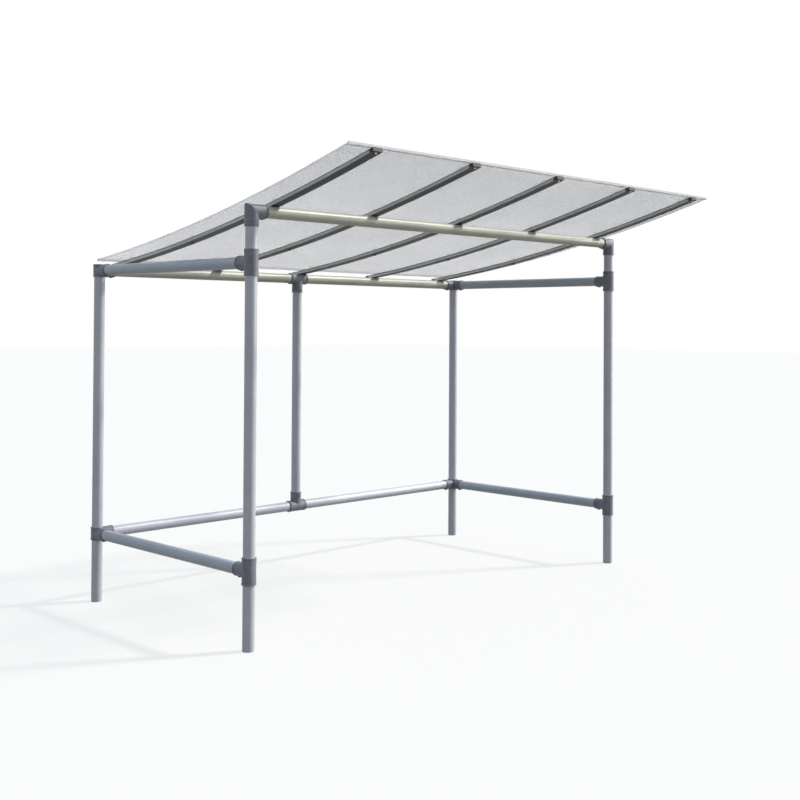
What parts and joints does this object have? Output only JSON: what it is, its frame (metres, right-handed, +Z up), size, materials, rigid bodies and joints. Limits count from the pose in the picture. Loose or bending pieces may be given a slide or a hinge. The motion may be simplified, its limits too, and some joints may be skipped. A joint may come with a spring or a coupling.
{
  "type": "bicycle shelter",
  "caption": "Open bicycle shelter: round tube posts, beams and rails in cast clamp fittings, with bowed rafters and a translucent mono-pitch roof sheet overhanging the front.",
  "frame": {"origin": "on the ground, under the centre of the whole outline", "axes": "+X along the front to the right as seen from the front, +Y from the open front to the rear, +Z up"},
  "size_m": [3.0734, 2.194, 2.3872],
  "materials": {
    "tube": "satin drawn tube",
    "fitting": "matt sand casting",
    "set_screw": "dull zinc plate",
    "plug": "moulded",
    "rafter": "mill finish extrusion",
    "rafter_cap": "moulded",
    "roof": "translucent embossed sheet",
    "edge_strip": "satin profile",
    "tape": "closed-cell foam"
  },
  "bodies": {
    "root": {"post_front_left": "tube", "post_front_right": "tube", "post_rear_left": "tube", "post_rear_right": "tube", "post_rear_middle": "tube", "beam_front": "tube", "beam_rear": "tube", "rail_lower_rear": "tube", "rail_upper_left": "tube", "rail_upper_right": "tube", "rail_lower_left": "tube", "rail_lower_right": "tube", "elbow_front_left": "fitting", "elbow_front_right": "fitting", "tee_upper_left": "fitting", "tee_upper_right": "fitting", "tee_lower_left": "fitting", "tee_lower_right": "fitting", "corner_upper_left": "fitting", "corner_upper_right": "fitting", "corner_lower_left": "fitting", "corner_lower_right": "fitting", "tee_rear_upper": "fitting", "tee_rear_lower": "fitting", "set_screws": "set_screw", "post_plug_left": "plug", "post_plug_right": "plug", "rafter_1": "rafter", "rafter_2": "rafter", "rafter_3": "rafter", "rafter_4": "rafter", "rafter_5": "rafter", "rafter_caps_front": "rafter_cap", "rafter_caps_rear": "rafter_cap", "roof_sheet": "roof", "edge_strip_front": "edge_strip", "edge_strip_rear": "edge_strip", "rafter_tapes": "tape"}
  },
  "joints": []
}
